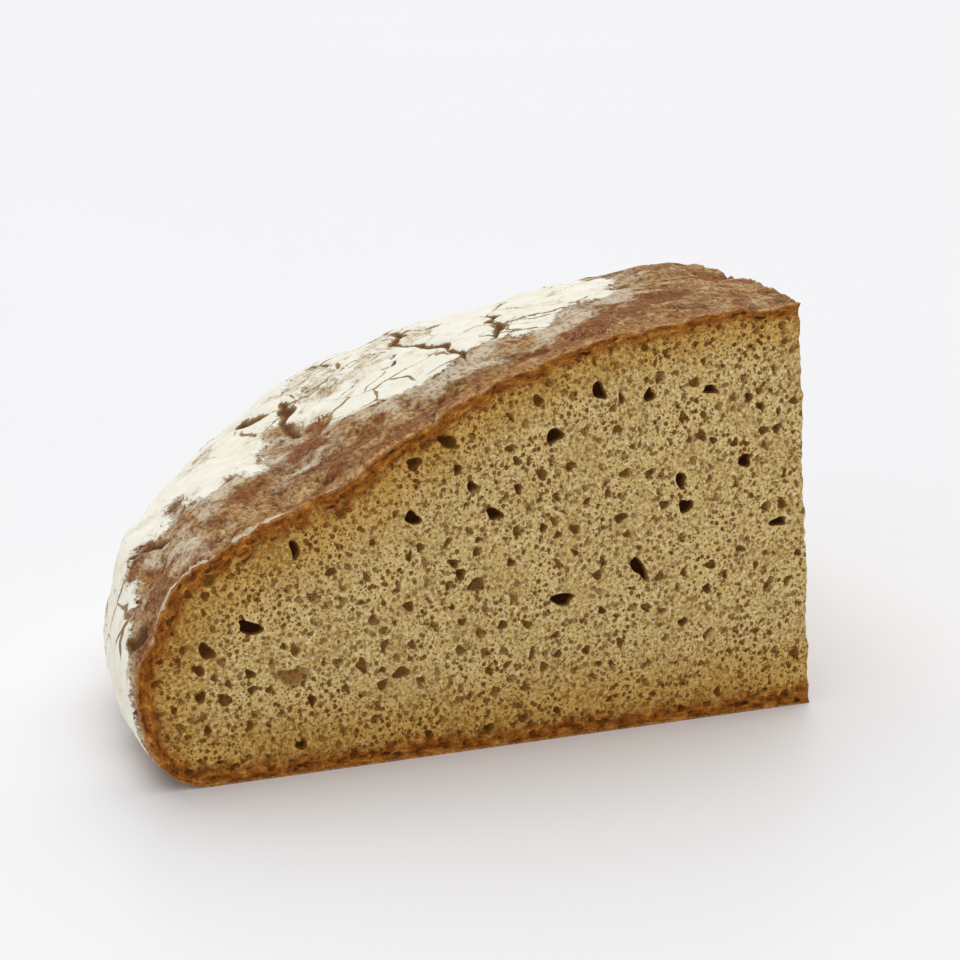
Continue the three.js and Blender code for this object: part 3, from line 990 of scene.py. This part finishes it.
def crumb_material():
    """Pale brown crumb full of pores, darker and redder towards the crust."""
    s = Shader("rye_crumb")
    tone = s.noise(11, detail=4)
    grain = s.noise(0.8, detail=5, rough=0.68)
    colour = s.mix(s.step(tone, 0.3, 0.7), srgb(201, 171, 103), srgb(218, 190, 122))
    # Painted highlight where the grain is high and painted shade where it is low.
    colour = s.mix(s.step(grain, 0.5, 0.66), colour, srgb(241, 223, 182))
    colour = s.mix(s.step(grain, 0.48, 0.34), colour, srgb(150, 100, 34))

    # Pores too fine for the mesh, in two sizes, and more of them where the tone is high.
    medium = s.step(s.cells(1.6), 0.37, 0.25, 0, 0.95)
    small = s.step(s.cells(0.8), 0.34, 0.2, 0, 0.8)
    tiny = s.times(s.larger(medium, small), s.step(tone, 0.34, 0.6, 0.45, 1))
    # The tiny pores' colour is painted shade of their hollows; the bump dents them too.
    colour = baked(s, s.mix(tiny, colour, srgb(122, 70, 16)), grain)

    # Painted shade in the pores of the mesh, darker the deeper they are.
    hollow = s.frayed(s.value("hollow"), grain, 0.1)
    colour = s.mix(s.step(hollow, 0.04, 0.45, 0, 0.85), colour, srgb(136, 86, 28))
    colour = s.mix(s.step(hollow, 0.4, 1.6), colour, srgb(60, 30, 6))
    height = s.minus(s.times(grain, 0.6), tiny)
    return s.finish(colour, 0.9, s.bump(height, depth=0.3), specular=0.12)


CRUST_BROWNS = [
    (0.39, srgb(96, 58, 32)), (0.46, srgb(143, 98, 55)), (0.52, srgb(171, 126, 76)),
    (0.57, srgb(190, 152, 99)), (0.64, srgb(216, 192, 148)),
]
DARK_BAKE_TINT = (0.66, 0.58, 0.5, 1)
# How far from the long cut, in mm, each of these begins and is at its strongest.
WARM_BAND = (7.0, 1.0)
LIP_BAND = (1.8, 0.8)

RUBBED_POWDER = [
    (0.34, srgb(132, 96, 62)), (0.42, srgb(186, 162, 126)), (0.5, srgb(216, 202, 174)),
    (0.6, srgb(246, 240, 220)),
]


def bare_crust(s, broad, middle, fine):
    """The crust's browns, warmer near the long cut, redder in hollows, with painted shade in pits.
    """
    tone = s.math("MULTIPLY_ADD", fine, 0.6, s.times(middle, 0.45))
    dark = s.step(s.noise(26, detail=4), 0.52, 0.38)
    bare = s.mix(dark, s.ramp(tone, CRUST_BROWNS), DARK_BAKE_TINT, "MULTIPLY")
    from_cut = s.frayed(s.value("from_front"), middle, -2.5)
    from_cut = s.frayed(from_cut, broad, 2.0, 0.35, 0.65)
    warm = s.times(s.step(from_cut, *WARM_BAND), s.step(fine, 0.34, 0.58, 0.15, 0.75))
    bare = s.mix(warm, bare, srgb(178, 124, 70))
    red = s.plus(s.value("red"), s.step(broad, 0.47, 0.62, 0, 0.5))
    red = s.step(s.frayed(red, middle, -0.25, 0.35, 0.65), 0.25, 0.5)
    bare = s.mix(s.times(red, s.step(fine, 0.3, 0.6, 0.95, 0.6)), bare, srgb(134, 76, 36))
    # Painted shade in pits, where the fine noise that also lowers the bump is low.
    bare = s.mix(s.times(s.step(fine, 0.46, 0.3), 0.7), bare, srgb(80, 48, 28))
    # Painted shade in the creases, which the mesh also dents.
    crease = s.times(s.step(s.value("crease"), 0.35, 0.9), 0.6)
    return s.mix(crease, bare, srgb(84, 50, 28))


def dusty_crust(s, bare, flour_in, broad, streak, fine):
    """Dust in streaks and specks, mostly near the flour and on ridges, and the crust's lip."""
    near_flour = s.step(flour_in, -16, 0, -0.04, 0.1)
    ridges = s.minus(s.value("dusty"), s.value("red"))
    dusty = s.plus(s.plus(streak, near_flour), s.times(ridges, 0.2))
    dusty = s.times(s.step(dusty, 0.51, 0.71), s.step(fine, 0.36, 0.54, 0.3, 0.95))
    speck = s.times(s.step(s.cells(0.9), 0.34, 0.12), s.step(broad, 0.42, 0.6))
    bare = s.mix(s.times(speck, 0.4), s.mix(dusty, bare, srgb(224, 209, 180)), srgb(226, 210, 180))
    rim = s.frayed(s.value("from_front"), fine, -0.7)
    lip = s.mix(s.step(fine, 0.4, 0.6), srgb(150, 92, 46), srgb(214, 172, 112))
    lip = s.mix(s.step(s.value("dusty"), 0.3, 0.6), lip, srgb(232, 216, 184))
    return s.mix(s.times(s.step(rim, *LIP_BAND), 0.85), bare, lip)


def fine_cracks(s, fine):
    """A net of lines in the flour that widen, narrow and end."""
    width = s.step(s.frayed(s.noise(21), fine, 0.06), 0.47, 0.68, 0, 0.045)
    to_line = s.cells(13, "DISTANCE_TO_EDGE", s.bent(12, amount=9))
    return s.step(s.minus(to_line, width), 0.004, -0.006)


def flour_loss(s, flour_in, middle, streak):
    """How far the flour is rubbed off: in the worn patches, in thin places and at its edge."""
    worn = s.step(s.frayed(s.value("worn"), middle, 0.3), 0.28, 0.52)
    worn = s.times(worn, s.step(streak, 0.38, 0.54, 0.3, 1))
    thin = s.step(s.noise(9, detail=6, rough=0.66, bend=0.5), 0.56, 0.68, 0, 0.6)
    edge = s.times(s.step(flour_in, 6, 0), s.step(middle, 0.52, 0.64))
    return s.larger(s.larger(worn, thin), edge)


def crust_material():
    """Bare crust, brown and dusty, under cracked plates of white flour."""
    s = Shader("rye_crust")
    outward = s.stretched((1, 0.6, 1))
    streaked = s.stretched((0.7, 0.9, 1))
    broad = s.noise(19, detail=3, rough=0.6, bend=0.2)
    middle = s.noise(4.5, detail=6, rough=0.66, bend=0.1, place=outward)
    streak = s.noise(6, detail=6, rough=0.66, bend=0.2, place=streaked)
    fine = s.noise(1.0, detail=5, rough=0.7, place=outward)
    flour_in = s.value("flour")
    bare = dusty_crust(s, bare_crust(s, broad, middle, fine), flour_in, broad, streak, fine)

    crack = s.frayed(s.value("crack"), fine, 0.2, 0.25, 0.75)
    open_crack = s.step(crack, 0.42, 0.62)
    line = fine_cracks(s, fine)
    loss = flour_loss(s, flour_in, middle, streak)
    rubbed = s.ramp(s.noise(2.4, detail=6, rough=0.74, place=outward), RUBBED_POWDER)
    clean = s.step(s.noise(6, detail=4), 0.35, 0.65)
    powder = s.mix(clean, srgb(246, 241, 220), srgb(252, 249, 236))
    powder = s.mix(loss, powder, rubbed)
    groove = s.mix(s.step(fine, 0.35, 0.62), srgb(100, 66, 36), srgb(172, 132, 78))
    powder = s.mix(s.times(line, 0.9), powder, groove)
    # The groove browns are the crust in the cracks; their deepest middle gets painted shade.
    groove = s.mix(s.step(crack, 0.6, 1.0), groove, srgb(94, 58, 28))
    flour = s.step(s.frayed(flour_in, fine, 1.4, 0.25, 0.75), -0.6, 0.8)
    colour = s.mix(open_crack, s.mix(flour, bare, powder), groove)

    height = s.times(fine, s.step(flour, 0, 1, 1.0, 0.4))
    height = s.plus(height, s.times(s.noise(0.45), 0.25))
    for hollow, depth in ((open_crack, 0.6), (line, 0.4), (loss, 0.25)):
        height = s.minus(height, s.times(hollow, depth))
    roughness = s.step(flour, 0, 1, 0.78, 0.95)
    return s.finish(colour, roughness, s.bump(height, depth=0.6), specular=0.12)


def base_material():
    """The flat underside: brown, dry and dusted with flour from the oven floor."""
    s = Shader("rye_base")
    tone = s.step(s.noise(16, detail=4), 0.35, 0.65)
    fine = s.noise(1.2, detail=4, rough=0.7)
    colour = s.mix(tone, srgb(126, 84, 52), srgb(158, 112, 72))
    dust = s.times(s.step(s.noise(26), 0.42, 0.62), s.step(fine, 0.35, 0.62))
    colour = s.mix(dust, colour, srgb(216, 200, 172))
    # Painted shade: dark spots for small pits, which the bump doesn't dent.
    pit = s.step(s.cells(3.2), 0.2, 0.08)
    colour = s.mix(pit, colour, srgb(84, 52, 32))
    return s.finish(colour, 0.9, s.bump(fine, depth=0.4))


# ---- studio

CAMERA_PLACE = (-269.5, -675.0, 221.8)
CAMERA_TARGET = (-3.0, -52.0, 51.0)
CAMERA_LENS = 115.0
CAMERA_CLIP_START = 0.01  # metres, like FLOOR_SIZE
FLOOR_SIZE = 16.0
# Name, direction, width in degrees and strength of each soft light.
STUDIO_LIGHTS = [
    ("overhead", (0.15, 0.45, 1.0), 80, 1.85),
    ("front_fill", (-0.7, -1.0, 0.9), 80, 0.5),
]
# The light from around, by height: 0 is level and 1 straight up.
WORLD_STOPS = [(0.12, (0.86, 0.86, 0.88, 1)), (0.45, (0.34, 0.34, 0.35, 1))]


def add_object(name, data):
    thing = bpy.data.objects.new(name, data)
    bpy.context.scene.collection.objects.link(thing)
    return thing


def aim(place, target):
    return (Vector(target) - Vector(place)).to_track_quat("-Z", "Y").to_euler()


def studio_floor():
    mesh = bpy.data.meshes.new("studio_floor")
    half = FLOOR_SIZE / 2
    corners = [(-half, -half, 0), (half, -half, 0), (half, half, 0), (-half, half, 0)]
    mesh.from_pydata(corners, [], [(0, 1, 2, 3)])
    s = Shader("studio_floor")
    shade = s.mix(s.noise(400, detail=2), srgb(243, 243, 245), srgb(246, 246, 247))
    normal = s.bump(s.noise(2, detail=2), depth=0.02)
    mesh.materials.append(s.finish(shade, 0.45, normal, specular=0.2))
    floor = add_object("studio_floor", mesh)


def studio_light():
    world = bpy.data.worlds.new("studio")
    world.use_nodes = True
    tree = world.node_tree
    direction = add_node(tree, "TexCoord").outputs["Generated"]
    up = add_node(tree, "SeparateXYZ", {"Vector": direction}).outputs["Z"]
    shade = add_ramp(tree, up, WORLD_STOPS)
    tree.links.new(shade, tree.nodes["Background"].inputs["Color"])
    bpy.context.scene.world = world

    for name, place, softness, strength in STUDIO_LIGHTS:
        lamp = bpy.data.lights.new(name, "SUN")
        lamp.angle = math.radians(softness)
        lamp.energy = strength
        light = add_object(name, lamp)
        light.location = place
        light.rotation_euler = aim(place, (0, 0, 0))


def photo_camera():
    lens = bpy.data.cameras.new("camera")
    lens.lens = CAMERA_LENS
    lens.clip_start = CAMERA_CLIP_START
    camera = add_object("camera", lens)
    camera.location = Vector(CAMERA_PLACE) * MM
    camera.rotation_euler = aim(CAMERA_PLACE, CAMERA_TARGET)
    bpy.context.scene.camera = camera
    bpy.context.scene.view_settings.view_transform = "Standard"


loaf = loaf_piece([crust_material(), crumb_material(), base_material()])
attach(loaf, "root")
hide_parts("loaf")
studio_floor()
studio_light()
photo_camera()
